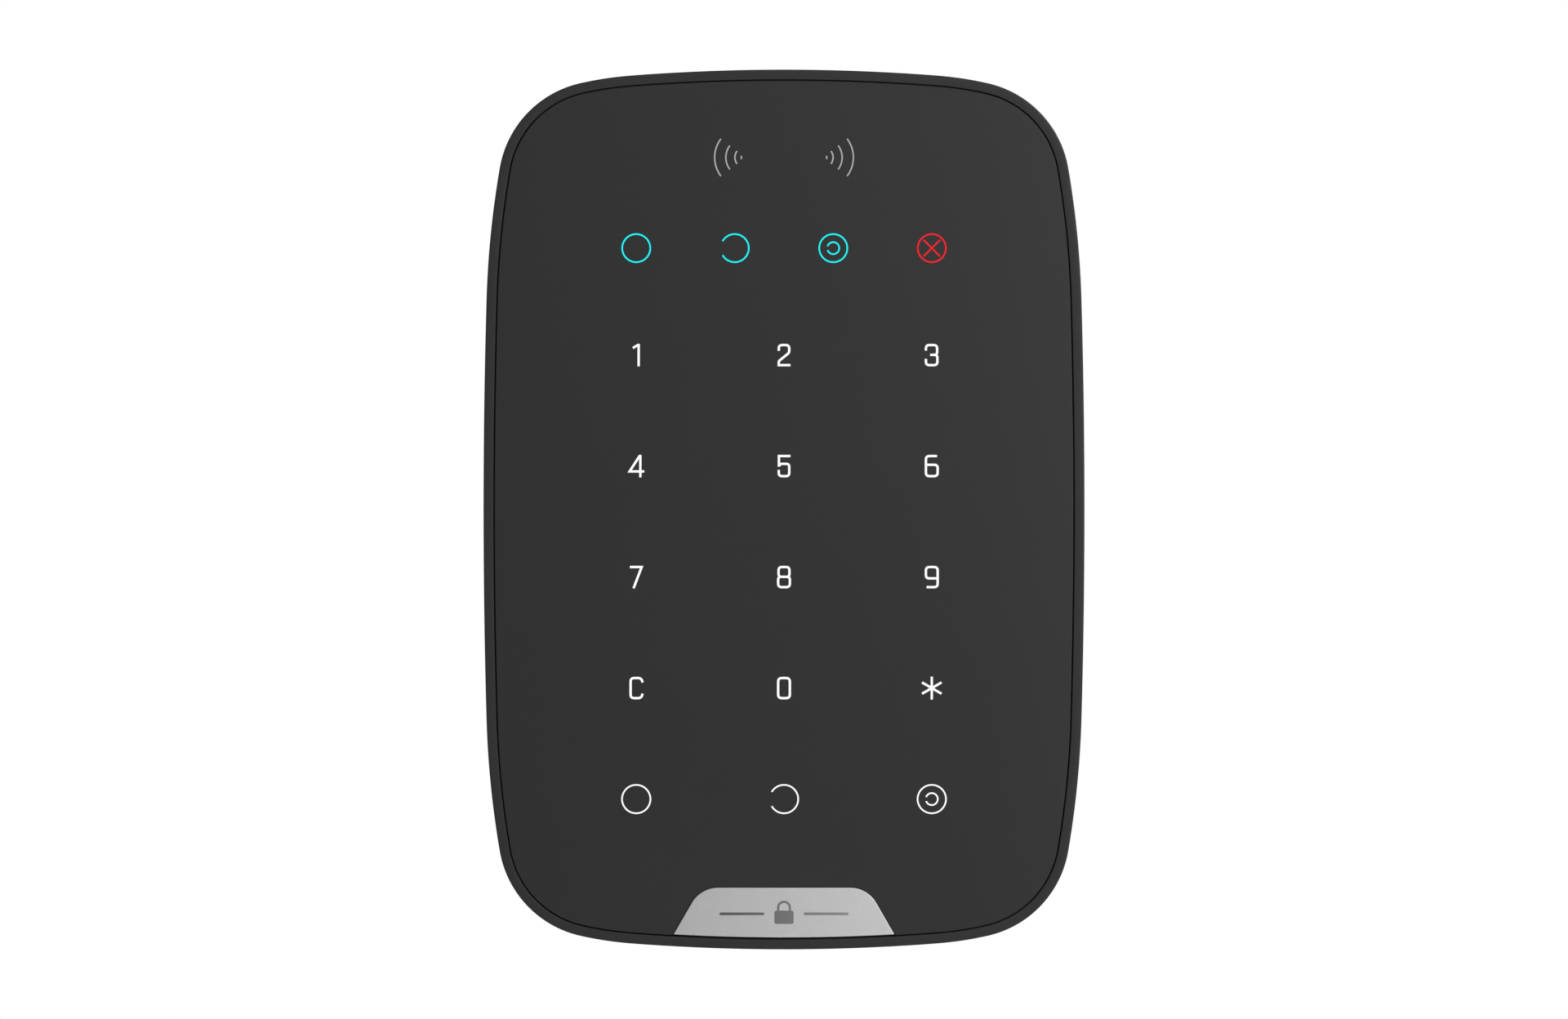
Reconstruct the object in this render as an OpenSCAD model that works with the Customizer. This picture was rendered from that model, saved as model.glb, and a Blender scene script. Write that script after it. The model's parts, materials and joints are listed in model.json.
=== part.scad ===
// Wall keypad with a contactless reader: a touch panel in a two-part housing that hangs on a mounting plate.
// X is the width, Z the height and -Y the way the panel faces. The wall is the plane Y = 0.
// Depths are measured from the wall towards the room, so depth 20 is Y = -20.

/* [Body] */
// Width of the housing
body_w = 112.7; // [112:0.1:116]
// Height of the housing
body_h = 165; // [163:0.5:170]
// Depth from the wall to the face of the touch panel
body_d = 20; // [20:0.1:22]
// Depth of the joint between the rear and the front housing
joint_d = 9; // [8.5:0.1:9.5]
// Thickness of the housing walls
wall = 2; // [1.8:0.1:2.2]

/* [Panel] */
// Width of the rim that shows around the panel
rim_w = 2; // [1.8:0.1:2.4]
// Gap between the rim and the panel
panel_gap = 0.26; // [0.2:0.02:0.4]
// Thickness of the touch panel
panel_t = 1.15; // [1:0.05:1.3]
// Spacing of the key columns
key_pitch_x = 27.7; // [27:0.1:28]
// Spacing of the key rows
key_pitch_z = 20.81; // [20:0.01:21]
// Height of the top key row above the centre
key_top_z = 28.95; // [28:0.05:30]
// Height of the row of status lights above the centre
status_z = 49; // [48:0.5:50]
// Height of the reader marks above the centre
reader_z = 66; // [65:0.5:67]

/* [Legends] */
// Height of a digit
digit_h = 4.2; // [4:0.1:4.6]
// Width of a digit's stroke
stroke_w = 0.43; // [0.39:0.01:0.5]
// Radius of the mode rings, to the middle of the stroke
mode_r = 2.66; // [2.4:0.02:2.9]
// Radius of the status rings, to the middle of the stroke
status_r = 2.63; // [2.4:0.01:2.9]
// Width of a ring's stroke
ring_w = 0.29; // [0.24:0.01:0.4]
// Width of a reader mark's stroke
mark_w = 0.26; // [0.2:0.01:0.34]

/* [Badge] */
// Width of the badge across its lower corners
badge_w = 41.4; // [38:0.2:44]
// Height of the badge's top edge, below the centre
badge_top_z = -70.9; // [-72:0.1:-70]
// Radius of the badge's upper corners
badge_r = 5.7; // [4:0.1:6]
// Thickness of the badge
badge_t = 0.7; // [0.5:0.1:0.7]
// Lean of the badge's sides from upright, in degrees
badge_lean = 30; // [24:1:34]

/* [Mounting plate] */
// Width of the mounting plate
plate_w = 56; // [54:0.5:57]
// Height of the mounting plate
plate_h = 124; // [122:0.5:125]
// Thickness of the mounting plate
plate_t = 2.2; // [2:0.1:2.3]
// Horizontal spacing of the four wall screws
screw_dx = 40; // [36:0.5:42]
// Vertical spacing of the four wall screws
screw_dz = 104; // [100:0.5:106]
// Radius of the wall screw holes
screw_hole_r = 2.1; // [1.8:0.1:2.4]
// How far the keypad slides up to come off the hooks
slide_travel = 8; // [7:0.1:8]

/* [Batteries] */
// Distance of each battery column from the centre line
cell_x = 42.6; // [42.5:0.1:42.7]
// Diameter of a cell
cell_dia = 16.8; // [16.4:0.1:16.8]
// Length of a cell without its positive cap
cell_len = 33.2; // [32.8:0.1:33.2]

/* [Hidden] */
$fn = 48;
eps = 0.01;

// Layers, as depths from the wall.
rear_face = 0.4;
recess_d = plate_t + 0.4;
recess_inner = recess_d + 1.8;
door_t = 1.2;
door_inner = rear_face + door_t;
rear_inner = rear_face + wall;
legend_t = 0.05;
panel_front = body_d - legend_t;
panel_back = panel_front - panel_t;
film_t = 0.15;
foil_back = panel_back - film_t;
deck_front = foil_back - film_t;
deck_t = 1.6;
deck_back = deck_front - deck_t;
board_front = deck_back - 0.7;
board_t = 1.2;
board_back = board_front - board_t;
rim_front = body_d - 0.2;
badge_back = body_d - badge_t;
badge_foot_z = -79.7;
badge_gap = 0.15;
adhesive_t = 0.12;

// One quarter of the outline is a chain of five arcs, from the side to the top, that meet without a kink.
arc_sweeps = [1.6, 8.2, 67.4, 8.4, 4.4];
arc_steps = [2, 3, 12, 3, 3];
shoulder_r = 176;
corner_r = 19.7;
brow_r = 66;
arc_ends = [for (i = 0, a = 0; i <= 5; a = a + (i < 5 ? arc_sweeps[i] : 0), i = i + 1) a];
function run_x(i) = cos(arc_ends[i]) - cos(arc_ends[i + 1]);
function run_z(i) = sin(arc_ends[i + 1]) - sin(arc_ends[i]);
// The first and last radii follow from the width and the height.
left_x = body_w / 2 - shoulder_r * run_x(1) - corner_r * run_x(2) - brow_r * run_x(3);
left_z = body_h / 2 - shoulder_r * run_z(1) - corner_r * run_z(2) - brow_r * run_z(3);
chain_det = run_x(0) * run_z(4) - run_x(4) * run_z(0);
side_r = (left_x * run_z(4) - run_x(4) * left_z) / chain_det;
top_r = (run_x(0) * left_z - run_z(0) * left_x) / chain_det;
arc_radii = [side_r, shoulder_r, corner_r, brow_r, top_r];
function unit(a) = [cos(a), sin(a)];
function arc_centre(i) = i == 0
    ? [body_w / 2 - side_r, 0]
    : arc_centre(i - 1) + (arc_radii[i - 1] - arc_radii[i]) * unit(arc_ends[i]);
function quarter(inset) = concat([[body_w / 2 - inset, 0]], [
    for (i = [0:4]) let (c = arc_centre(i), n = arc_steps[i])
        for (k = [1:n]) c + (arc_radii[i] - inset) * unit(arc_ends[i] + arc_sweeps[i] * k / n)
]);
function backwards(list) = [for (i = [len(list) - 1:-1:0]) list[i]];
function without_ends(list) = [for (i = [1:len(list) - 2]) list[i]];
function outline(inset) = let (q = quarter(inset), m = without_ends(q), top = q[len(q) - 1]) concat(
    q,
    backwards([for (p = m) [-p.x, p.y]]), [[-q[0].x, 0]],
    [for (p = m) [-p.x, -p.y]], [[0, -top.y]],
    backwards([for (p = m) [p.x, -p.y]])
);

// Each row is [depth, inset of the outline]: the flank's profile, widest near the front.
rear_profile = [
    [rear_face, 2.7], [0.55, 2.2], [1.1, 1.6], [2.4, 1.15], [5, 0.7], [joint_d - 0.3, 0.38], [joint_d, 0.7]
];
front_profile = [
    [joint_d, 0.7], [joint_d + 0.3, 0.35], [12.5, 0.1], [15.5, 0], [19.3, 0], [19.68, 0.12], [rim_front, 0.4]
];

// Key and light positions.
key_columns = [-key_pitch_x, 0, key_pitch_x];
key_rows = [for (i = [0:4]) key_top_z - i * key_pitch_z];
key_places = [for (z = key_rows) for (x = key_columns) [x, z]];
status_places = [for (i = [-1.5:1:1.5]) [i * key_pitch_x * 2 / 3, status_z]];
light_well_r = 4.2;
film_w = 65;
film_h = 132;
film_z = -2;
board_screw_places = [for (s = [-1, 1]) for (p = [[30, 57], [13.85, -2.3], [26, -69]]) [s * p.x, p.y]];
housing_screw_places = [for (x = [-40, 40]) for (z = [-62, 62]) [x, z]];

// Legends: half the width and height of a digit to the middle of its stroke, and the sizes of the signs.
gw = 1.1;
gh = (digit_h - stroke_w) / 2;
night_r = 1.12;
cross_len = 4.35;
wave_radii = [5.8, 3.7, 2];
wave_centre_x = 7.2;
wave_half_angle = 37;
dot_x = 8;

// Mounting plate.
hook_w = 8;
hook_rise = 3;
hook_lip = 5;
hook_clear = 0.2;
hook_places = [for (x = [-21.5, 21.5]) for (z = [-26, 36]) [x, z]];
plate_r = 5;
anchor_zs = [54, -42];
cable_window = [15, 33];
cable_window_z = 29.5;
breakout = [21, 29];
breakout_slot = 1.2;
pocket_w = 7;
pocket_floor = 1.2;
pocket_spans = [[-12, 31], [-45, -30]];

// Tamper plunger, power button and sounder.
tamper_z = -34;
tamper_tip_r = 1.5;
ramp_slope = 0.125;
ramp_len = 10;
ramp_w = 4.6;
plunger_tip = plate_t + 0.045;
flange_d = recess_inner + 3.2;
switch_t = 3;
switch_front = board_back - switch_t;
power_z = 26;
power_r = 3.2;
power_dish_r = 6.8;
power_face = 1.9;
power_stem_d = board_back - 4.5;
sounder_place = [0, -66.5];
sounder_r = 6;
vent_ring_r = 2.2;
vent_r = 0.7;

// Circuit board and antenna.
board_w = 65;
board_h = 146;
antenna_place = [0, reader_z];
antenna_w = 50;
antenna_h = 18;
loop_step = 2.6;
loop_w = 0.7;

// Battery bays.
bay_half_w = cell_dia / 2 + 0.2;
bay_half_h = 36.6;
contact_t = 0.4;
cap_len = 1;
spring_len = 2 * bay_half_h - 2 * (cell_len + cap_len) - 2 * contact_t;
door_half_w = bay_half_w + 0.8;
door_gap = 0.2;
hinge_r = 1;
hinge_d = rear_face + hinge_r;
hinge_z = 38.6;
hinge_pin_r = 0.6;
hinge_pin_len = 0.8;
door_low_z = -39.4;
finger_z = -bay_half_h - 2.1;
finger_t = 0.7;
cell_d = door_inner + 0.1 + cell_dia / 2;
cell_base_z = -bay_half_h + contact_t + spring_len;
cap_r = 3;

// A 2D shape as a solid between two depths.
module layer(d0, d1) {
    translate([0, -d0, 0]) rotate([90, 0, 0]) linear_extrude(d1 - d0) children();
}

module rod(p, d0, d1, r) {
    translate([p.x, -d0, p.y]) rotate([90, 0, 0]) cylinder(r = r, h = d1 - d0);
}

module cone(p, d0, d1, r0, r1) {
    translate([p.x, -d0, p.y]) rotate([90, 0, 0]) cylinder(r1 = r0, r2 = r1, h = d1 - d0);
}

module block(x0, x1, z0, z1, d0, d1) {
    translate([x0, -d1, z0]) cube([x1 - x0, d1 - d0, z1 - z0]);
}

module round_rect(w, h, r) {
    square([w - 2 * r, h], center = true);
    square([w, h - 2 * r], center = true);
    for (x = [-1, 1]) for (z = [-1, 1]) translate([x * (w / 2 - r), z * (h / 2 - r)]) circle(r);
}

// The body's outline swept through a profile of [depth, inset] rows, as one closed solid.
module loft(profile) {
    n = len(outline(0));
    points = [for (row = profile) for (p = outline(row[1])) [p.x, -row[0], p.y]];
    last = len(profile) - 1;
    sides = [for (k = [0:last - 1]) for (i = [0:n - 1]) let (j = (i + 1) % n)
        [k * n + i, (k + 1) * n + i, (k + 1) * n + j, k * n + j]];
    caps = [[for (i = [0:n - 1]) i], [for (i = [n - 1:-1:0]) last * n + i]];
    polyhedron(points, concat(sides, caps));
}

// A wire of radius wire_r wound up the Z axis, its coil radius running from r0 to r1.
module coil_spring(r0, r1, height, turns, wire_r, sides = 6, steps = 16) {
    total = turns * steps;
    rise = height - 2 * wire_r;
    function flat(t) = let (e = 0.16) max(0, min(1, (t - e) / (1 - 2 * e)));
    rings = [for (k = [0:total]) let (t = k / total, a = 360 * turns * t, r = r0 + (r1 - r0) * t)
        for (s = [0:sides - 1]) let (b = 360 * s / sides, q = r + wire_r * cos(b))
            [q * cos(a), q * sin(a), wire_r + rise * flat(t) + wire_r * sin(b)]];
    sides_faces = [for (k = [0:total - 1]) for (s = [0:sides - 1]) let (u = (s + 1) % sides)
        [k * sides + s, k * sides + u, (k + 1) * sides + u, (k + 1) * sides + s]];
    caps = [[for (s = [sides - 1:-1:0]) s], [for (s = [0:sides - 1]) total * sides + s]];
    polyhedron(rings, concat(sides_faces, caps));
}

// Mounting plate ---------------------------------------------------------------------------------

// An upturned hook that reaches through the rear housing and holds it behind its wall.
module hook(p) {
    block(p.x - hook_w / 2, p.x + hook_w / 2, p.y, p.y + hook_rise, plate_t - 0.5, recess_inner + 1.8);
    block(p.x - hook_w / 2, p.x + hook_w / 2, p.y + hook_rise - eps, p.y + hook_rise + hook_lip,
        recess_inner + hook_clear, recess_inner + 1.8);
}

module screw_hole(p) {
    rod(p, -1, plate_t + 1, screw_hole_r);
    cone(p, plate_t - 1.3, plate_t + 0.2, screw_hole_r, screw_hole_r + 1.5);
}

// The break-out section around the tamper: a slot all round it, crossed by four thin bridges.
module tamper_perforation() {
    translate([0, tamper_z]) difference() {
        round_rect(breakout.x, breakout.y, 3);
        round_rect(breakout.x - 2 * breakout_slot, breakout.y - 2 * breakout_slot, 3 - breakout_slot);
        for (z = [-9, 9]) translate([0, z]) square([breakout.x + 9, 1.4], center = true);
    }
}

// The tamper plunger rides on this slope, so it comes out as the keypad slides up.
module tamper_ramp() {
    translate([-ramp_w / 2, 0, 0]) rotate([90, 0, 90]) linear_extrude(ramp_w) polygon([
        [-plate_t - 1, tamper_z], [-plate_t, tamper_z],
        [-plate_t + ramp_slope * ramp_len, tamper_z + ramp_len], [-plate_t - 1, tamper_z + ramp_len]
    ]);
}

module mounting_plate() {
    color("#2b2b2c") {
        difference() {
            layer(0, plate_t) round_rect(plate_w, plate_h, plate_r);
            for (x = [-1, 1]) for (z = [-1, 1]) screw_hole([x * screw_dx / 2, z * screw_dz / 2]);
            for (z = anchor_zs) screw_hole([0, z]);
            layer(-1, plate_t + 1) translate([0, cable_window_z])
                round_rect(cable_window.x, cable_window.y, 3);
            layer(-1, plate_t + 1) tamper_perforation();
            tamper_ramp();
            // lightening pockets in the front face, which leave ribs between them
            for (x = [-21.5, 21.5]) for (span = pocket_spans)
                layer(pocket_floor, plate_t + 1) translate([x, (span[0] + span[1]) / 2])
                    round_rect(pocket_w, span[1] - span[0], 2);
        }
        for (p = hook_places) hook(p);
    }
}

// Housing ----------------------------------------------------------------------------------------

module hook_slot(p) {
    low = p.y - slide_travel - 0.3;
    high = p.y + hook_rise + 0.1;
    block(p.x - hook_w / 2 - 0.3, p.x + hook_w / 2 + 0.3, low, high, 0, recess_inner + 1);
}

module recess(grow, d0, d1) {
    low = -plate_h / 2 - slide_travel - 0.4;
    high = plate_h / 2 + 0.4;
    layer(d0, d1) translate([0, (low + high) / 2])
        round_rect(plate_w + 0.8 + 2 * grow, high - low + 2 * grow, plate_r + 0.4 + grow);
}

// Walls of one battery bay, standing on the inside of the rear wall.
module bay_walls() {
    top = deck_back - 0.1;
    inner_x = cell_x - bay_half_w;
    end_z = bay_half_h + 1.2;
    block(inner_x - 1, inner_x, -end_z, end_z, rear_inner - eps, top);
    for (z = [-bay_half_h - 1.2, bay_half_h])
        block(inner_x - eps, cell_x + bay_half_w, z, z + 1.2, rear_inner - eps, top);
    block(cell_x - door_half_w - 1.5, cell_x + door_half_w + 0.9, end_z - eps, bay_half_h + 4.4,
        rear_inner - eps, rear_inner + 1);
}

// What is cut from the rear wall for one battery bay: the opening, the door's seat, hinge groove and notch.
module bay_cuts() {
    x0 = cell_x - door_half_w - door_gap;
    x1 = cell_x + door_half_w + door_gap;
    block(cell_x - bay_half_w, cell_x + bay_half_w, -bay_half_h, bay_half_h, 0, rear_inner + 1);
    block(x0, x1, door_low_z - door_gap, hinge_z + hinge_r + 0.3, 0, door_inner);
    translate([x0, -hinge_d, hinge_z]) rotate([0, 90, 0]) cylinder(r = hinge_r + 0.3, h = x1 - x0);
    translate([x0 - hinge_pin_len - 0.2, -hinge_d, hinge_z]) rotate([0, 90, 0])
        cylinder(r = hinge_pin_r + 0.05, h = x1 - x0 + 2 * hinge_pin_len + 0.4);
    block(cell_x - 3.4, cell_x + 3.4, -bay_half_h - 2.2, -bay_half_h - 1.2, 0, rear_inner + 1);
    translate([cell_x, 1.9, door_low_z - 0.5]) sphere(r = 3.6);
}

module rear_housing() {
    color("#303031") {
        difference() {
            union() {
                difference() {
                    loft(rear_profile);
                    layer(rear_inner, joint_d + 1) polygon(outline(wall + 0.6));
                }
                recess(1.8, rear_inner - eps, recess_inner);
                for (p = housing_screw_places) rod(p, rear_inner - eps, joint_d, 4.2);
                for (s = [0, 1]) mirror([s, 0, 0]) bay_walls();
                rod([0, tamper_z], recess_inner - eps, recess_inner + 1.8, 3.2);
                lip();
            }
            recess(0, -1, recess_d);
            for (p = hook_places) hook_slot(p);
            for (p = housing_screw_places) {
                rod(p, 0, 3, 2.9);
                rod(p, 2, joint_d + 1, 1.5);
            }
            for (s = [0, 1]) mirror([s, 0, 0]) bay_cuts();
            rod([0, tamper_z], 2, 8, tamper_tip_r + 0.06);
            rod([0, power_z], 2, 8, power_r + 0.12);
            for (p = vent_places) rod(p, 2, 5, vent_r);
        }
    }
}

// A thin tongue that fits just inside the front housing's wall. It stops short of the battery bays.
module lip() {
    difference() {
        layer(joint_d - 2, joint_d + 1.2) difference() {
            polygon(outline(wall + 0.35));
            polygon(outline(wall + 1.35));
        }
        block(-body_w, body_w, -45, 45, 0, body_d);
    }
}

vent_places = concat([sounder_place], [for (a = [0:60:300]) sounder_place + vent_ring_r * unit(a)]);

module front_housing() {
    color("#333334") difference() {
        union() {
            difference() {
                loft(front_profile);
                layer(joint_d - 1, deck_back) polygon(outline(wall + 0.2));
            }
            for (p = housing_screw_places) rod(p, joint_d, deck_back + eps, 3.6);
            for (p = board_screw_places) rod(p, board_front, deck_back + eps, 2.6);
        }
        layer(deck_front, body_d + 1) polygon(outline(rim_w - panel_gap / 2));
        for (p = key_places) rod(p, deck_back - 1, body_d, light_well_r);
        for (p = status_places) rod(p, deck_back - 1, body_d, light_well_r);
        for (x = [-cell_x, cell_x])
            block(x - bay_half_w, x + bay_half_w, -bay_half_h, bay_half_h, 12, body_d);
        for (p = housing_screw_places) rod(p, joint_d - 1, joint_d + 6.5, 1.2);
        for (p = board_screw_places) rod(p, board_front - 1, deck_front - 0.2, 0.8);
    }
}

// Touch panel and badge --------------------------------------------------------------------------

// A trapezium with rounded upper corners and sides that lean in, grown by grow all round.
function badge_outline(grow) = let (
    top = badge_top_z + grow, low = -body_h / 2, r = badge_r + grow, lean = tan(badge_lean),
    foot_x = badge_w / 2 + grow / cos(badge_lean) + (badge_foot_z - low) * lean,
    corner = [foot_x - (top - low) * lean - r * (1 / cos(badge_lean) - lean), top - r],
    sweep = (90 - badge_lean) / 6,
    right = [for (i = [0:6]) corner + r * unit(badge_lean + i * sweep)]
) concat(
    [[foot_x, low]], right, backwards([for (p = right) [-p.x, p.y]]), [[-foot_x, low]]
);

module badge_shape(grow, d0, d1) {
    intersection() {
        layer(d0, d1) polygon(badge_outline(grow));
        layer(d0, d1) polygon(outline(rim_w + panel_gap / 2 + badge_gap - grow));
    }
}

module front_panel() {
    color("#373737") difference() {
        layer(panel_back, panel_front) polygon(outline(rim_w + panel_gap / 2));
        layer(badge_back - adhesive_t, body_d + 1) polygon(badge_outline(badge_gap));
    }
}

// Legends ----------------------------------------------------------------------------------------

// A path is a list of [x, z, rounding] points. Each inner corner with a rounding becomes a short curve.
function flat(p) = [p.x, p.y];
function toward(a, b, t) = flat(a) + (flat(b) - flat(a)) * t / norm(flat(b) - flat(a));
function curve(a, b, c, t) = a * (1 - t) * (1 - t) + b * 2 * t * (1 - t) + c * t * t;
function rounded(path) = let (n = len(path) - 1) [for (i = [0:n]) each (i == 0 || i == n || path[i][2] == 0)
    ? [flat(path[i])]
    : let (a = toward(path[i], path[i - 1], path[i][2]), c = toward(path[i], path[i + 1], path[i][2]))
        [for (t = [0:0.25:1]) curve(a, flat(path[i]), c, t)]];
function side(a, b) = [a.y - b.y, b.x - a.x] / norm(b - a);
function mitre(p, i) = let (
    n = len(p) - 1, u = side(p[max(i, 1) - 1], p[max(i, 1)]), v = side(p[min(i, n - 1)], p[min(i, n - 1) + 1])
) (u + v) / (1 + u * v);
function ribbon(p, w) = let (n = len(p) - 1) concat(
    [for (i = [0:n]) p[i] + mitre(p, i) * w / 2], [for (i = [n:-1:0]) p[i] - mitre(p, i) * w / 2]);

// The strokes of each legend, in the order of the keys.
glyphs = [
    [[[-0.62, 1.33, 0], [0.35, 1.91, 0]], [[0.46, digit_h / 2, 0], [0.46, -digit_h / 2, 0]]],
    [[[-0.98, 0.8, 0], [-0.98, gh, 0.65], [0.98, gh, 0.65], [0.98, 0.45, 0.35], [-0.98, -1.14, 0.2],
        [-0.98, -gh, 0], [1.2, -gh, 0]]],
    [[[-1.1, 0.85, 0], [-1.1, gh, 0.65], [1, gh, 0.65], [1, 0.04, 0.55], [-0.3, 0.04, 0]],
        [[0.3, 0.04, 0], [1.05, 0.04, 0.55], [1.05, -gh, 0.65], [-gw, -gh, 0.65], [-gw, -0.72, 0]]],
    [[[0.77, -digit_h / 2, 0], [0.77, digit_h / 2, 0]], [[0.68, 1.97, 0], [-1.24, -1, 0], [1.5, -1, 0]]],
    [[[1.2, gh, 0], [-0.95, gh, 0], [-0.95, -0.1, 0]],
        [[-0.95, 0.05, 0], [-0.6, 0.42, 0.2], [0.98, 0.42, 0.55], [0.98, -gh, 0.6], [-0.98, -gh, 0.6],
            [-0.98, -0.72, 0]]],
    [[[0.97, gh, 0], [-gw, gh, 0.65], [-gw, -gh, 0.65], [0.2, -gh, 0]],
        [[-0.2, -gh, 0], [gw, -gh, 0.65], [gw, 0.24, 0.6], [-gw, 0.24, 0]]],
    [[[-1.18, gh, 0], [1.02, gh, 0], [-0.5, -digit_h / 2, 0]]],
    [for (s = [-1, 1]) each [
        [[-0.2 * s, 0.05, 0], [1.02 * s, 0.05, 0.55], [1.02 * s, gh, 0.6], [-0.2 * s, gh, 0]],
        [[-0.2 * s, 0.05, 0], [gw * s, 0.05, 0.55], [gw * s, -gh, 0.65], [-0.2 * s, -gh, 0]]
    ]],
    [[[-0.97, -gh, 0], [gw, -gh, 0.65], [gw, gh, 0.65], [-0.2, gh, 0]],
        [[0.2, gh, 0], [-gw, gh, 0.65], [-gw, -0.24, 0.6], [gw, -0.24, 0]]],
    [[[1.18, 1.05, 0], [0.98, gh, 0.6], [-1.05, gh, 0.65], [-1.05, -gh, 0.65], [0.98, -gh, 0.6],
        [1.18, -1.05, 0]]],
    [for (s = [-1, 1]) [[-0.2 * s, gh, 0], [gw * s, gh, 0.7], [gw * s, -gh, 0.7], [-0.2 * s, -gh, 0]]],
    [[[0, -2.13, 0], [0, 2.13, 0]], [[-1.82, -1.05, 0], [1.82, 1.05, 0]],
        [[-1.82, 1.05, 0], [1.82, -1.05, 0]]]
];

module ring(r, w) {
    difference() {
        circle(r + w / 2);
        circle(r - w / 2);
    }
}

// A pie slice of a circle, half_angle each side of the direction to the left.
module slice(r, half_angle) {
    polygon([[0, 0], for (a = [-2:2]) -r * unit(a * half_angle / 2)]);
}

module open_ring(r, w, half_angle) {
    difference() {
        ring(r, w);
        slice(r + w, half_angle);
    }
}

module legend(p) {
    translate([p.x, 0, p.y]) layer(panel_front, body_d) children();
}

// The three mode signs: a ring for armed, an open ring for disarmed, and an open ring in a ring for night.
module mode_sign(i, r) {
    if (i == 1) open_ring(r, ring_w, 30);
    else ring(r, ring_w);
    if (i == 2) open_ring(night_r, ring_w, 20);
}

module digit_legends() {
    color("#f4f4f4") for (i = [0:11]) for (path = glyphs[i])
        legend(key_places[i]) polygon(ribbon(rounded(path), stroke_w));
}

module mode_legends() {
    color("#f4f4f4") for (i = [0:2]) legend(key_places[12 + i]) mode_sign(i, mode_r);
}

module status_windows() {
    color("#1cd8e4") for (i = [0:2]) legend(status_places[i]) mode_sign(i, status_r);
}

module fault_window() {
    color("#f01d29") legend(status_places[3]) {
        ring(status_r, ring_w);
        for (a = [45, 135]) rotate(a) square([cross_len, ring_w], center = true);
    }
}

module reader_marks() {
    color("#b0b0b0") for (s = [0, 1]) mirror([s, 0, 0]) {
        for (r = wave_radii) legend([-wave_centre_x, reader_z]) intersection() {
            ring(r, mark_w);
            slice(r + 1, wave_half_angle);
        }
        legend([-dot_x, reader_z]) square([mark_w, 0.65], center = true);
    }
}

module panel_adhesive() {
    color("#101012") layer(deck_front, panel_back) difference() {
        polygon(outline(rim_w + 0.6));
        polygon(outline(rim_w + 2.6));
    }
}

module badge() {
    color("#b5b5b5") badge_shape(0, badge_back, body_d);
}

module badge_adhesive() {
    color("#e8e8e2") badge_shape(-0.6, badge_back - adhesive_t, badge_back);
}

// The films lie between the panel and the deck, over the keys only.
module film_area() {
    translate([0, film_z]) round_rect(film_w, film_h, 3);
}

module touch_foil() {
    color("#7b8a90") layer(foil_back, panel_back) film_area();
}

module diffuser_film() {
    color("#f2f2f0") layer(deck_front, foil_back) film_area();
}

module light_pipe(p) {
    rod(p, deck_back, deck_front, light_well_r - 0.05);
}

module key_light_pipes() {
    color("#eef2f4") for (p = key_places) light_pipe(p);
}

module status_light_pipes() {
    color("#eef2f4") for (p = status_places) light_pipe(p);
}

// Electronics ------------------------------------------------------------------------------------

module main_board() {
    color("#1d5c38") difference() {
        layer(board_back, board_front) round_rect(board_w, board_h, 4);
        for (p = board_screw_places) rod(p, board_back - 1, board_front + 1, 1.1);
    }
}

module led(p) {
    block(p.x - 0.8, p.x + 0.8, p.y - 0.8, p.y + 0.8, board_front, board_front + 0.6);
}

module key_leds() {
    color("#f5f1d8") for (p = key_places) led(p);
}

module status_leds() {
    color("#f5f1d8") for (p = status_places) led(p);
}

module screw(p, head_d, head_t, head_r, shaft_end, shaft_r) {
    difference() {
        rod(p, head_d, head_d + head_t, head_r);
        for (a = [0, 90]) translate([p.x, -head_d, p.y]) rotate([0, a, 0])
            cube([head_r * 1.2, head_t, head_r * 0.3], center = true);
    }
    rod(p, head_d + head_t - eps, shaft_end, shaft_r);
}

module board_screws() {
    color("#b9bcc0") for (p = board_screw_places)
        screw(p, board_back - 1.1, 1.1, 1.9, deck_front - 0.4, 0.75);
}

module housing_screws() {
    color("#b9bcc0") for (p = housing_screw_places) screw(p, 1, 2, 2.6, joint_d + 6, 1.15);
}

module reader_antenna_film() {
    color("#b8772c") layer(deck_back - 0.15, deck_back) translate(antenna_place)
        round_rect(antenna_w + 2, antenna_h + 1, 2);
}

// Five nested copper loops.
module reader_antenna_coil() {
    color("#d08a4a") layer(deck_back - 0.25, deck_back - 0.15) translate(antenna_place) for (i = [0:4]) {
        w = antenna_w - loop_step * i;
        h = antenna_h - loop_step * i;
        difference() {
            round_rect(w, h, 1.8);
            round_rect(w - 2 * loop_w, h - 2 * loop_w, 1.1);
        }
    }
}

module ferrite_sheet() {
    color("#3c3a3a") layer(deck_back - 0.55, deck_back - 0.25) translate(antenna_place)
        round_rect(antenna_w + 1, antenna_h, 1.5);
}

module chip(p, w, h, t) {
    block(p.x - w / 2, p.x + w / 2, p.y - h / 2, p.y + h / 2, board_back - t, board_back);
}

module controller_chip() {
    color("#1b1b1d") chip([-12, 12], 9, 9, 1.2);
}

module reader_chip() {
    color("#1b1b1d") chip([9, 52], 6, 6, 0.9);
}

module radio_shield() {
    color("#c3c6c9") chip([16, -20], 20, 24, 2.6);
}

module crystal() {
    color("#cfd2d4") chip([-2, 14], 3.2, 5, 0.8);
}

module capacitors() {
    color("#8c6a45") for (p = [[-20, -12], [-20, -16], [-20, -20], [4, 44], [-4, 44], [-24, 24], [-24, 20]])
        chip(p, 3.2, 1.6, 1.3);
}

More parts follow.
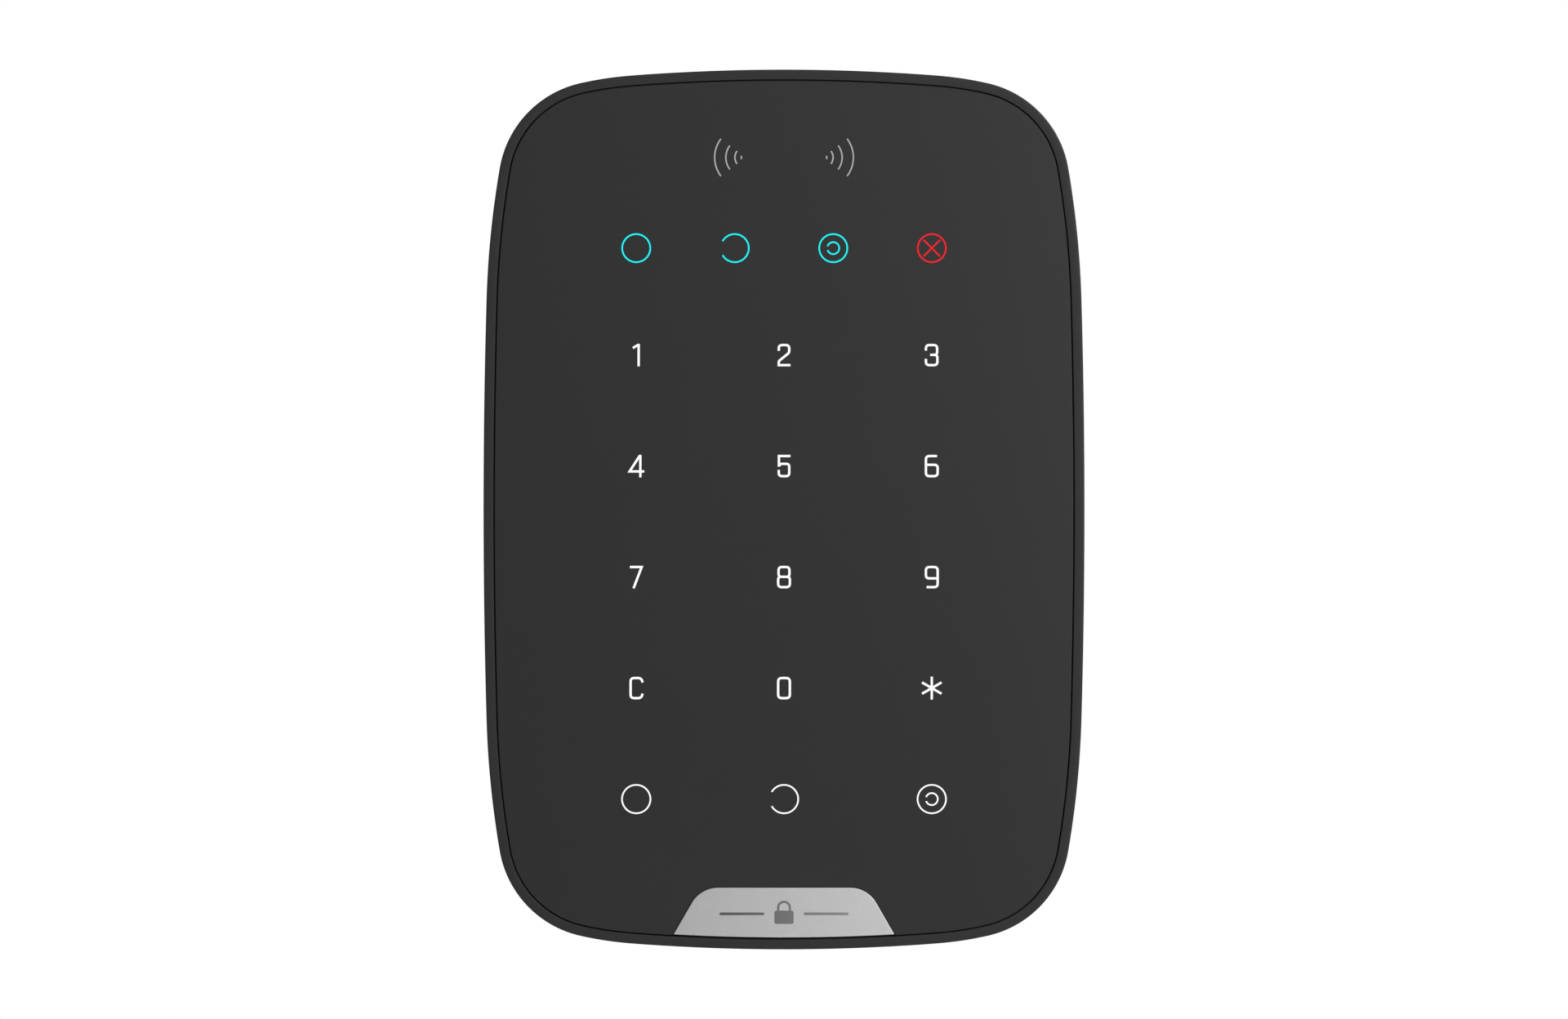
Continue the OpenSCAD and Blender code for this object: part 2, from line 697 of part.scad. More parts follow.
module service_socket() {
    color("#e9e6dc") difference() {
        chip([-16, 50], 10, 5, 4);
        block(-16 - 4.2, -16 + 4.2, 50 - 1.7, 50 + 1.7, board_back - 5, board_back - 1);
    }
}

// A folded strip antenna stands at each lower corner of the board.
module radio_antennas() {
    color("#c3c6c9") for (s = [0, 1]) mirror([s, 0, 0]) {
        block(8, 30, -60, -59.6, board_back - 6, board_back - 2);
        block(8, 10, -60, -59.6, board_back - 2 - eps, board_back);
        block(12, 14, -60, -59.6, board_back - 2 - eps, board_back);
        block(29.6, 30, -60 + eps, -50, board_back - 6, board_back - 2);
    }
}

module sounder() {
    color("#18181a") difference() {
        rod(sounder_place, board_back - 4.5, board_back, sounder_r);
        rod(sounder_place, board_back - 5, board_back - 3.5, 1.2);
    }
}

// Tamper and power -------------------------------------------------------------------------------

module tamper_plunger() {
    color("#d9d9d6") {
        difference() {
            translate([0, -plunger_tip - tamper_tip_r, tamper_z]) sphere(r = tamper_tip_r);
            rod([0, tamper_z], plunger_tip + tamper_tip_r, 8, tamper_tip_r + 1);
        }
        rod([0, tamper_z], plunger_tip + tamper_tip_r, flange_d + eps, tamper_tip_r);
        rod([0, tamper_z], flange_d, flange_d + 1, 3);
        rod([0, tamper_z], flange_d + 1 - eps, switch_front + 1.6, 0.8);
    }
}

module tamper_spring() {
    color("#c9ccd0") translate([0, -flange_d - 1, tamper_z]) rotate([90, 0, 0])
        coil_spring(2.3, 2.3, switch_front - flange_d - 1, 4, 0.22);
}

module tamper_switch() {
    color("#26262a") difference() {
        block(-3.4, 3.4, tamper_z - 3.4, tamper_z + 3.4, switch_front, board_back);
        rod([0, tamper_z], switch_front - 1, board_back - 0.6, 1);
    }
}

module power_button() {
    color("#c8c8c6") {
        difference() {
            rod([0, power_z], power_face, recess_inner + 0.6, power_r);
            translate([0, power_dish_r - power_face - 0.35, power_z]) sphere(r = power_dish_r);
        }
        rod([0, power_z], recess_inner + 0.2, recess_inner + 1.1, power_r + 1);
        rod([0, power_z], recess_inner + 1.1 - eps, power_stem_d, 1.4);
    }
}

module power_switch_stem() {
    color("#202024") rod([0, power_z], power_stem_d, board_back - 2, 1.2);
}

module power_switch() {
    color("#c3c6c9") difference() {
        block(-3, 3, power_z - 3, power_z + 3, board_back - 3.4, board_back);
        rod([0, power_z], board_back - 4, board_back - 1, 1.3);
    }
}

// Batteries --------------------------------------------------------------------------------------

module upright(x, z) {
    translate([x, -cell_d, z]) children();
}

// Two cells stand one on the other in each bay.
module battery_cells() {
    color("#3b6ea5") for (x = [-cell_x, cell_x]) for (i = [0, 1])
        upright(x, cell_base_z + i * (cell_len + cap_len)) rotate_extrude() polygon([
            [0, 0], [7.6, 0], [8, 0.3], [cell_dia / 2, 0.7], [cell_dia / 2, cell_len - 0.7],
            [8, cell_len - 0.3], [7.6, cell_len], [0, cell_len]
        ]);
}

module battery_caps() {
    color("#d4d6d8") for (x = [-cell_x, cell_x]) for (i = [0, 1])
        upright(x, cell_base_z + i * (cell_len + cap_len) + cell_len) cylinder(r = cap_r, h = cap_len);
}

module battery_springs() {
    color("#c9ccd0") for (x = [-cell_x, cell_x])
        upright(x, -bay_half_h + contact_t) coil_spring(5.6, 3.2, spring_len, 2.5, 0.45);
}

// A flat plate at each end of a bay, with a tail that runs in to the board.
module battery_contacts() {
    color("#d4d6d8") for (s = [0, 1]) mirror([s, 0, 0]) for (z = [-bay_half_h, bay_half_h - contact_t])
        block(cell_x - 7, cell_x + 7, z, z + contact_t, cell_d - 6, cell_d + 6);
}

// The door hangs from a hinge roll along its upper edge and has a finger that snaps in at the bottom.
module battery_door() {
    x0 = cell_x - door_half_w;
    color("#303031") {
        block(x0, cell_x + door_half_w, door_low_z, hinge_z, rear_face, door_inner);
        translate([x0, -hinge_d, hinge_z]) rotate([0, 90, 0]) cylinder(r = hinge_r, h = 2 * door_half_w);
        translate([x0 - hinge_pin_len, -hinge_d, hinge_z]) rotate([0, 90, 0])
            cylinder(r = hinge_pin_r, h = 2 * door_half_w + 2 * hinge_pin_len);
        block(cell_x - 3, cell_x + 3, finger_z, finger_z + finger_t, door_inner - eps, rear_inner + 1.4);
    }
}

module rating_label() {
    color("#e4e4e0") layer(rear_face - 0.1, rear_face) translate([0, 70.5]) round_rect(38, 9.5, 1);
}

mounting_plate();
rear_housing();
front_housing();
front_panel();
digit_legends();
mode_legends();
status_windows();
fault_window();
reader_marks();
panel_adhesive();
badge();
badge_adhesive();
touch_foil();
diffuser_film();
key_light_pipes();
status_light_pipes();
main_board();
key_leds();
status_leds();
board_screws();
housing_screws();
reader_antenna_film();
reader_antenna_coil();
ferrite_sheet();
controller_chip();
reader_chip();
radio_shield();
radio_antennas();
crystal();
capacitors();
service_socket();
sounder();
tamper_switch();
power_switch();
battery_cells();
battery_caps();
battery_springs();
battery_contacts();
rating_label();
tamper_plunger();
tamper_spring();
power_button();
power_switch_stem();
mirror([1, 0, 0]) battery_door();  // battery_door_left
battery_door();  // battery_door_right
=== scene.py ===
"""Looks for a slim wall keypad with a contactless reader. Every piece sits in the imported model's frame.

X is the width, Z the height and -Y faces the viewer. Depths are measured from the wall, so depth d is Y = -d.
Sizes and places are in millimetres unless a comment says otherwise, and MM turns them into metres.
"""
import json
import math

import bmesh
import bpy
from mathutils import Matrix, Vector


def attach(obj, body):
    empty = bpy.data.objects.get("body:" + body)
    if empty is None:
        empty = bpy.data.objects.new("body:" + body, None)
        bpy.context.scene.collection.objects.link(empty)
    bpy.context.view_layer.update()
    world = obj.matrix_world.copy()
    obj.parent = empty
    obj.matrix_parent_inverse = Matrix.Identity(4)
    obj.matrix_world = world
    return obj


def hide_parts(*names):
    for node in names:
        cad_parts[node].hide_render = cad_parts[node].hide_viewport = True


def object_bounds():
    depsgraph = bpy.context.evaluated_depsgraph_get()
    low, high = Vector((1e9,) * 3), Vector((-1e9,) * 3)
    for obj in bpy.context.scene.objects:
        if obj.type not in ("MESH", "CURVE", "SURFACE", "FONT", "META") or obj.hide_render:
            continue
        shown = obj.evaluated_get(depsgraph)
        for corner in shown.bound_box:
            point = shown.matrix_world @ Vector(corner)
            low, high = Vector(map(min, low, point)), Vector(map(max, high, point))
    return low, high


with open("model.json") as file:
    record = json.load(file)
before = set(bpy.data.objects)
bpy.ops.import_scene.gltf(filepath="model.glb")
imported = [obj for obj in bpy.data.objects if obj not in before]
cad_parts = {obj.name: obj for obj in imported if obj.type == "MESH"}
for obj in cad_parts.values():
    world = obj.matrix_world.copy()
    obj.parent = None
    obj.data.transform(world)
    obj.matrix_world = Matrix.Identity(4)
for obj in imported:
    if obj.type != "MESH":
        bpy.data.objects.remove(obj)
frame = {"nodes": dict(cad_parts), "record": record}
cad_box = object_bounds()

MM = 0.001
BODY_W, BODY_D, BODY_H = (round((high - low) / MM, 1) for low, high in zip(*cad_box))
JOINT_D = 9.0  # where the two halves of the housing meet
WALL = 2.0
RIM_W, PANEL_GAP = 2.0, 0.26
LEGEND_FRONT = BODY_D
PANEL_FRONT, PANEL_BACK = 19.95, 18.8
DECK_FRONT, DECK_BACK, DECK_EDGE = 18.5, 16.9, 4.0
REAR_FACE = 0.4
PLATE_W, PLATE_H, PLATE_R, PLATE_T = 56.0, 124.0, 5.0, 2.2
PLATE_GAP = 0.4
RECESS_D = PLATE_T + PLATE_GAP
RECESS_WALL = 1.8
RECESS_INNER = RECESS_D + RECESS_WALL
REAR_INNER = REAR_FACE + WALL
SLIDE_TRAVEL = 8.0
HOOK_X, HOOK_ROWS = 21.5, (-26.0, 36.0)
HOOK_SLOT_HALF_W, HOOK_SLOT_UP, HOOK_GAP = 4.3, 3.1, 0.3
KEY_PITCH_X, KEY_PITCH_Z, KEY_TOP_Z, KEY_ROWS = 27.7, 20.81, 28.95, 5
STATUS_Z = 49.0
READER_Z = 66.0
CELL_X, BAY_HALF_W, BAY_HALF_H, BAY_END_WALL = 42.6, 8.6, 36.6, 1.2
DOOR_HALF_W, DOOR_GAP, DOOR_INNER, DOOR_LOW_Z = 9.4, 0.2, 1.6, -39.4
HINGE_R, HINGE_PIN_R, HINGE_D, HINGE_Z = 1.0, 0.65, 1.4, 38.6
TAMPER_Z, POWER_Z, SOUNDER_Z = -34.0, 26.0, -66.5

# Outline ------------------------------------------------------------------------------------------

# A quarter of the outline is five arcs, from the middle of the side to the middle of the top. The sweeps are
# in degrees and add up to 90. The first and last radii follow from the body's width and height.
SWEEPS = (1.6, 8.2, 67.4, 8.4, 4.4)
MIDDLE_RADII = (176.0, 19.7, 66.0)


def arc_chain():
    """The arcs of one quarter, as (centre, radius, start angle, end angle)."""
    ends = [math.radians(sum(SWEEPS[:i])) for i in range(6)]
    run_x = [math.cos(ends[i]) - math.cos(ends[i + 1]) for i in range(5)]
    run_z = [math.sin(ends[i + 1]) - math.sin(ends[i]) for i in range(5)]
    left_x = BODY_W / 2 - sum(r * run_x[i + 1] for i, r in enumerate(MIDDLE_RADII))
    left_z = BODY_H / 2 - sum(r * run_z[i + 1] for i, r in enumerate(MIDDLE_RADII))
    det = run_x[0] * run_z[4] - run_x[4] * run_z[0]
    side_r = (left_x * run_z[4] - run_x[4] * left_z) / det
    top_r = (run_x[0] * left_z - run_z[0] * left_x) / det
    radii = (side_r,) + MIDDLE_RADII + (top_r,)
    centre = (BODY_W / 2 - side_r, 0.0)
    arcs = []
    for i, r in enumerate(radii):
        if i:
            step = radii[i - 1] - r
            centre = (centre[0] + step * math.cos(ends[i]), centre[1] + step * math.sin(ends[i]))
        arcs.append((centre, r, ends[i], ends[i + 1]))
    return arcs


ARCS = arc_chain()
ARC_STEPS = (10, 12, 44, 12, 10)
INSIDE_STEPS = (6, 8, 24, 8, 6)
DECK_STEPS = (4, 6, 18, 6, 4)
FOOT_CURVE_STEPS = (10, 12, 60, 30, 30)


def quarter(inset, steps):
    """One quarter of the outline moved in by inset, with steps points on each arc."""
    points = [(BODY_W / 2 - inset, 0.0)]
    for ((cx, cz), r, a0, a1), n in zip(ARCS, steps):
        for k in range(1, n + 1):
            a = a0 + (a1 - a0) * k / n
            points.append((cx + (r - inset) * math.cos(a), cz + (r - inset) * math.sin(a)))
    return points


def outline(inset, steps=ARC_STEPS):
    """The body's outline moved in by inset, anticlockwise as the viewer sees it."""
    q = quarter(inset, steps)
    middle = q[1:-1]
    top = q[-1][1]
    return (
        q + [(-x, z) for x, z in reversed(middle)] + [(-q[0][0], 0.0)]
        + [(-x, -z) for x, z in middle] + [(0.0, -top)] + [(x, -z) for x, z in reversed(middle)]
    )


# Mesh helpers -------------------------------------------------------------------------------------


def make_object(name, vertices, faces):
    mesh = bpy.data.meshes.new(name)
    mesh.from_pydata([Vector(v) * MM for v in vertices], [], faces)
    bm = bmesh.new()
    bm.from_mesh(mesh)
    bmesh.ops.recalc_face_normals(bm, faces=bm.faces)
    bm.to_mesh(mesh)
    bm.free()
    obj = bpy.data.objects.new(name, mesh)
    bpy.context.scene.collection.objects.link(obj)
    return obj


def stack(name, rings, closed_loop=False):
    """A solid from rings of equal length, each a (depth, points) pair.

    A closed loop joins the last ring to the first. Otherwise the end rings are capped.
    """
    n = len(rings[0][1])
    vertices = [(x, -d, z) for d, points in rings for x, z in points]
    faces = []
    bands = len(rings) if closed_loop else len(rings) - 1
    for k in range(bands):
        a, b = k * n, ((k + 1) % len(rings)) * n
        faces += [(a + i, a + (i + 1) % n, b + (i + 1) % n, b + i) for i in range(n)]
    if not closed_loop:
        faces += [tuple(range(n)), tuple(range((len(rings) - 1) * n, len(rings) * n))]
    return make_object(name, vertices, faces)


def loft(name, profile, closed_loop=False):
    """A solid whose section at each depth of the profile is the body's outline moved in by inset."""
    return stack(name, [(d, outline(inset)) for d, inset in profile], closed_loop)


def layer(name, points, d0, d1):
    return stack(name, [(d0, points), (d1, points)])


def circle(x, z, r, n=40):
    return [(x + r * math.cos(2 * math.pi * i / n), z + r * math.sin(2 * math.pi * i / n)) for i in range(n)]


def arc(x, z, r, start, end, steps):
    """The points of an arc. The angles are in degrees."""
    angles = [math.radians(start + (end - start) * k / steps) for k in range(steps + 1)]
    return [(x + r * math.cos(a), z + r * math.sin(a)) for a in angles]


def rod(x, z, d0, d1, r, n=40):
    """A cylinder along Y."""
    return layer("rod", circle(x, z, r, n), d0, d1)


def rectangle(x0, x1, z0, z1):
    return [(x0, z0), (x1, z0), (x1, z1), (x0, z1)]


def block(x0, x1, z0, z1, d0, d1):
    return layer("block", rectangle(x0, x1, z0, z1), d0, d1)


def round_rect(cx, cz, w, h, r, n=8):
    points = []
    for sx, sz, start in ((1, 1, 0), (-1, 1, 90), (-1, -1, 180), (1, -1, 270)):
        for k in range(n + 1):
            a = math.radians(start + 90 * k / n)
            points.append((cx + sx * (w / 2 - r) + r * math.cos(a), cz + sz * (h / 2 - r) + r * math.sin(a)))
    return points


def cross_rod(x0, x1, d, z, r, n=32):
    """A cylinder along X."""
    vertices = [(x, y, height) for x in (x0, x1) for y, height in circle(-d, z, r, n)]
    faces = [(i, (i + 1) % n, n + (i + 1) % n, n + i) for i in range(n)]
    faces += [tuple(range(n)), tuple(range(n, 2 * n))]
    return make_object("cross_rod", vertices, faces)


def ball(x, y, z, r):
    mesh = bpy.data.meshes.new("ball")
    bm = bmesh.new()
    bmesh.ops.create_uvsphere(bm, u_segments=40, v_segments=24, radius=r * MM)
    bmesh.ops.translate(bm, verts=bm.verts, vec=Vector((x, y, z)) * MM)
    bm.to_mesh(mesh)
    bm.free()
    obj = bpy.data.objects.new("ball", mesh)
    bpy.context.scene.collection.objects.link(obj)
    return obj


def joined(objects):
    """One object with all their faces."""
    bm = bmesh.new()
    for o in objects:
        bm.from_mesh(o.data)
    mesh = bpy.data.meshes.new("joined")
    bm.to_mesh(mesh)
    bm.free()
    for o in objects:
        bpy.data.objects.remove(o)
    obj = bpy.data.objects.new("joined", mesh)
    bpy.context.scene.collection.objects.link(obj)
    return obj


def boolean(obj, tools, operation):
    """Cuts the tools from obj or joins them to it. The tools are used up."""
    tool = joined(tools)
    modifier = obj.modifiers.new("boolean", "BOOLEAN")
    modifier.operation = operation
    modifier.solver = "EXACT"
    modifier.use_self = True
    modifier.object = tool
    graph = bpy.context.evaluated_depsgraph_get()
    result = bpy.data.meshes.new_from_object(obj.evaluated_get(graph))
    obj.modifiers.clear()
    obj.data = result
    bpy.data.objects.remove(tool)


def triangulated(obj):
    """Faces with many corners are cut into triangles first, because a bevel can turn them inside out."""
    bm = bmesh.new()
    bm.from_mesh(obj.data)
    bmesh.ops.triangulate(bm, faces=bm.faces, ngon_method="BEAUTY")
    bm.to_mesh(obj.data)
    bm.free()
    return obj


def smooth(obj, angle=30.0):
    """Shades the faces smoothly, apart from edges sharper than angle."""
    obj.data.polygons.foreach_set("use_smooth", [True] * len(obj.data.polygons))
    obj.data.set_sharp_from_angle(angle=math.radians(angle))
    return obj


def merge_flat(obj, angle=0.6):
    """Joins the triangles of flat faces, so that a bevel after it rounds only real edges."""
    merge = obj.modifiers.new("merge", "DECIMATE")
    merge.decimate_type = "DISSOLVE"
    merge.angle_limit = math.radians(angle)


def bevel(obj, width, angle=35.0):
    """Rounds the edges that are sharper than angle."""
    edge = obj.modifiers.new("edges", "BEVEL")
    edge.width = width * MM
    edge.segments = 2
    edge.limit_method = "ANGLE"
    edge.angle_limit = math.radians(angle)
    edge.use_clamp_overlap = True
    edge.harden_normals = True
    edge.miter_outer = "MITER_ARC"


# Materials ----------------------------------------------------------------------------------------


class Shader:
    """A small builder for one node material. Noise scales are per metre and bump depths are in metres."""

    def __init__(self, name):
        self.material = bpy.data.materials.new(name)
        self.material.use_nodes = True
        self.nodes = self.material.node_tree.nodes
        self.links = self.material.node_tree.links
        self.surface = self.nodes["Principled BSDF"]
        self.where = self.nodes.new("ShaderNodeTexCoord").outputs["Object"]

    def set(self, **values):
        for key, value in values.items():
            self.surface.inputs[key.replace("_", " ")].default_value = value
        return self

    def noise(self, scale, detail, roughness):
        node = self.nodes.new("ShaderNodeTexNoise")
        node.inputs["Scale"].default_value = scale
        node.inputs["Detail"].default_value = detail
        node.inputs["Roughness"].default_value = roughness
        self.links.new(self.where, node.inputs["Vector"])
        return node.outputs["Fac"]

    def place_x(self):
        """The place along the object's width, in metres."""
        node = self.nodes.new("ShaderNodeSeparateXYZ")
        self.links.new(self.where, node.inputs["Vector"])
        return node.outputs["X"]

    def spread(self, value, low, high, from_low=0.3, from_high=0.7):
        """A number that runs from low to high with value. Noise lies mostly between 0.3 and 0.7."""
        node = self.nodes.new("ShaderNodeMapRange")
        node.inputs["From Min"].default_value = from_low
        node.inputs["From Max"].default_value = from_high
        node.inputs["To Min"].default_value = low
        node.inputs["To Max"].default_value = high
        self.links.new(value, node.inputs["Value"])
        return node.outputs["Result"]

    def blend(self, value, low, high, from_low=0.3, from_high=0.7):
        """A colour that runs from low to high with value."""
        node = self.nodes.new("ShaderNodeValToRGB")
        node.color_ramp.elements[0].position = from_low
        node.color_ramp.elements[0].color = (*low, 1)
        node.color_ramp.elements[1].position = from_high
        node.color_ramp.elements[1].color = (*high, 1)
        self.links.new(value, node.inputs["Fac"])
        return node.outputs["Color"]

    def link(self, output, socket):
        self.links.new(output, self.surface.inputs[socket])
        return self

    def bump(self, height, strength, depth):
        node = self.nodes.new("ShaderNodeBump")
        node.inputs["Strength"].default_value = strength
        node.inputs["Distance"].default_value = depth
        self.links.new(height, node.inputs["Height"])
        return self.link(node.outputs["Normal"], "Normal")


def tint(colour, factor):
    return tuple(min(1.0, c * factor) for c in colour)


def plastic(name, colour, roughness, grain, depth, specular, vary):
    """Moulded plastic, film or paint: a fine surface grain, and mottling by the part vary."""
    s = Shader(name)
    mottle = s.noise(45.0, 3.0, 0.55)
    fine = s.noise(grain, 2.0, 0.6)
    s.link(s.blend(mottle, tint(colour, 1 - vary), tint(colour, 1 + vary)), "Base Color")
    s.link(s.spread(fine, roughness - 0.05, roughness + 0.07), "Roughness")
    s.bump(fine, 0.35, depth)
    return s.set(Specular_IOR_Level=specular)


def lit(name, colour, body=0.04):
    """A smoked window lit from behind, a little unevenly. Its own surface is as dark as body says."""
    s = Shader(name)
    even = s.noise(400.0, 2.0, 0.5)
    s.link(s.blend(even, tint(colour, 0.8 * body), tint(colour, body)), "Base Color")
    s.link(s.blend(even, tint(colour, 0.96), colour), "Emission Color")
    return s.set(Emission_Strength=1.0, Roughness=0.45, Specular_IOR_Level=0.15)


SPECKLE = 0.22  # how far the speckle moves the colour along the painted sheen, as a part of the way from left to right


def satin_with_painted_sheen(name, left, right, half_width, roughness):
    """A bead-blasted finish with a fine speckle, on a painted reflection that runs from the grey left to the
    grey right across X, lighter on the right as if lit from there.

    half_width is the place in metres, on either side of the middle, where it gets there.
    """
    s = Shader(name)
    speckle = s.noise(4200.0, 2.0, 0.6)
    # The painted reflection: the place across X sets how light the surface is, and the real speckle is added
    # to it.
    painted_sheen_and_speckle = s.nodes.new("ShaderNodeMath")
    painted_sheen_and_speckle.operation = "ADD"
    s.links.new(s.spread(s.place_x(), 0.0, 1.0, -half_width, half_width), painted_sheen_and_speckle.inputs[0])
    s.links.new(s.spread(speckle, -SPECKLE, SPECKLE), painted_sheen_and_speckle.inputs[1])
    s.link(s.blend(painted_sheen_and_speckle.outputs["Value"], left, right, 0.0, 1.0), "Base Color")
    s.link(s.spread(speckle, roughness - 0.05, roughness + 0.05), "Roughness")
    s.bump(speckle, 0.25, 0.000003)
    return s


def metal(name, colour, roughness):
    s = Shader(name)
    grain = s.noise(2600.0, 3.0, 0.6)
    cloud = s.noise(90.0, 2.0, 0.5)
    s.link(s.blend(cloud, tint(colour, 0.96), tint(colour, 1.04)), "Base Color")
    s.link(s.spread(grain, roughness - 0.06, roughness + 0.08), "Roughness")
    s.bump(grain, 0.3, 0.000004)
    return s.set(Metallic=1.0)


PANEL_COLOUR = (0.0185, 0.0187, 0.0190)
HOUSING_COLOUR = (0.0190, 0.0192, 0.0195)
BACK_COLOUR = (0.0200, 0.0202, 0.0205)
PLATE_COLOUR = (0.0240, 0.0240, 0.0245)
# The badge's silver carries a painted reflection: painted darker at the left and lighter at the right.
BADGE_PAINTED_DARK_LEFT, BADGE_PAINTED_LIGHT_RIGHT = (0.55, 0.55, 0.55), (0.71, 0.71, 0.71)
# The mark's painted reflection: painted dark at the left and lighter at the right, like an engraving catching
# light.
MARK_PAINTED_DARK_LEFT, MARK_PAINTED_LIGHT_RIGHT = (0.050, 0.050, 0.052), (0.20, 0.20, 0.20)

# The numbers of a plastic are its roughness, grain scale, bump depth, specular level and mottling.
MATERIALS = {
    "panel_face": plastic("panel_face", PANEL_COLOUR, 0.5, 14000.0, 0.000004, 0.22, 0.015),
    "rim_plastic": plastic("rim_plastic", HOUSING_COLOUR, 0.52, 11000.0, 0.000010, 0.22, 0.03),
    "rear_plastic": plastic("rear_plastic", BACK_COLOUR, 0.55, 6500.0, 0.00003, 0.4, 0.05),
    "bracket_plastic": plastic("bracket_plastic", PLATE_COLOUR, 0.5, 5200.0, 0.00003, 0.4, 0.05),
    "white_legend": lit("white_legend", (1.0, 1.0, 1.0)),
    "cyan_window": lit("cyan_window", (0.008, 0.90, 0.94), 0.02),
    "red_window": lit("red_window", (0.90, 0.010, 0.018), 0.02),
    "grey_print": lit("grey_print", (0.40, 0.40, 0.40)),
    # the badge's silver, with a painted reflection that is lighter towards the right
    "silver_badge": satin_with_painted_sheen("silver_badge", BADGE_PAINTED_DARK_LEFT, BADGE_PAINTED_LIGHT_RIGHT, 0.024, 0.45).set(Metallic=1.0),
    "black_foam": plastic("black_foam", (0.006, 0.006, 0.006), 0.9, 5000.0, 0.00006, 0.1, 0.2),
    "clear_tape": plastic("clear_tape", (0.62, 0.61, 0.56), 0.4, 3000.0, 0.00001, 0.4, 0.04),
    "touch_film": plastic("touch_film", (0.22, 0.30, 0.32), 0.25, 4000.0, 0.000004, 0.5, 0.05),
    "diffuser": plastic("diffuser", (0.78, 0.78, 0.77), 0.6, 6000.0, 0.00001, 0.3, 0.02),
    "clear_plastic": plastic("clear_plastic", (0.62, 0.65, 0.67), 0.12, 3000.0, 0.000003, 0.6, 0.03),
    "circuit_board": plastic("circuit_board", (0.012, 0.085, 0.032), 0.32, 7000.0, 0.00001, 0.5, 0.12),
    "led_body": plastic("led_body", (0.80, 0.72, 0.42), 0.3, 4000.0, 0.00001, 0.5, 0.08),
    "amber_film": plastic("amber_film", (0.42, 0.16, 0.02), 0.25, 5000.0, 0.000005, 0.5, 0.08),
    "ferrite": plastic("ferrite", (0.035, 0.032, 0.032), 0.7, 6000.0, 0.00001, 0.3, 0.1),
    "black_chip": plastic("black_chip", (0.012, 0.012, 0.013), 0.5, 8000.0, 0.00001, 0.4, 0.1),
    "tan_ceramic": plastic("tan_ceramic", (0.24, 0.13, 0.055), 0.5, 8000.0, 0.00001, 0.4, 0.1),
    "ivory_plastic": plastic("ivory_plastic", (0.72, 0.68, 0.56), 0.45, 5000.0, 0.00001, 0.4, 0.04),
    "cell_sleeve": plastic("cell_sleeve", (0.03, 0.10, 0.26), 0.22, 2500.0, 0.000006, 0.5, 0.06),
    "blank_label": plastic("blank_label", (0.56, 0.56, 0.55), 0.42, 5000.0, 0.00001, 0.4, 0.03),
    "light_plastic": plastic("light_plastic", (0.50, 0.50, 0.48), 0.45, 6000.0, 0.00002, 0.4, 0.04),
    "zinc_steel": metal("zinc_steel", (0.58, 0.60, 0.62), 0.32),
    "copper": metal("copper", (0.78, 0.36, 0.18), 0.3),
    "tinned_steel": metal("tinned_steel", (0.68, 0.69, 0.70), 0.3),
    "nickel": metal("nickel", (0.72, 0.71, 0.68), 0.24),
    # the mark, with a painted reflection that runs from dark at the left to light at the right
    "badge_mark": satin_with_painted_sheen("badge_mark", MARK_PAINTED_DARK_LEFT, MARK_PAINTED_LIGHT_RIGHT, 0.012, 0.5),
}


def dress(obj, slot_name, material=None):
    """Gives a piece its material, which is the one named by the record's slot slot_name unless material names
    another.
    """
    obj.data.materials.clear()
    obj.data.materials.append(MATERIALS[material or slot_name].material)


def place(obj, name, body, slot_name, replaced=(), material=None):
    """Names a piece, dresses it, puts it on a body, and hides the CAD nodes it stands for."""
    obj.name = name
    obj.data.name = name
    dress(obj, slot_name, material)
    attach(obj, body)
    if replaced:
        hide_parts(*replaced)


# Housing ------------------------------------------------------------------------------------------

POCKET_INSET = RIM_W - PANEL_GAP / 2
PANEL_INSET = RIM_W + PANEL_GAP / 2
KEY_COLUMNS = (-KEY_PITCH_X, 0.0, KEY_PITCH_X)
KEY_PLACES = [(x, KEY_TOP_Z - i * KEY_PITCH_Z) for i in range(KEY_ROWS) for x in KEY_COLUMNS]
STATUS_PLACES = [(i * KEY_PITCH_X * 2 / 3, STATUS_Z) for i in (-1.5, -0.5, 0.5, 1.5)]
SCREW_PLACES = [(x, z) for x in (-40.0, 40.0) for z in (-62.0, 62.0)]
BOARD_SCREWS = [(s * x, z) for s in (-1, 1) for x, z in ((30.0, 57.0), (13.85, -2.3), (26.0, -69.0))]
WELL_R, BOARD_BOSS_R, BOARD_BOSS_D, FRONT_BOSS_R, REAR_BOSS_R = 4.2, 2.6, 16.2, 3.6, 4.2
RIM_FRONT, FRONT_WALL_INSET, SEAM_INSET = 19.8, 2.2, 0.78
BAY_CUT_BACK, BAY_CUT_FRONT = 12, 22
OVERCUT = 1.0  # how far a cutting tool runs past what it cuts

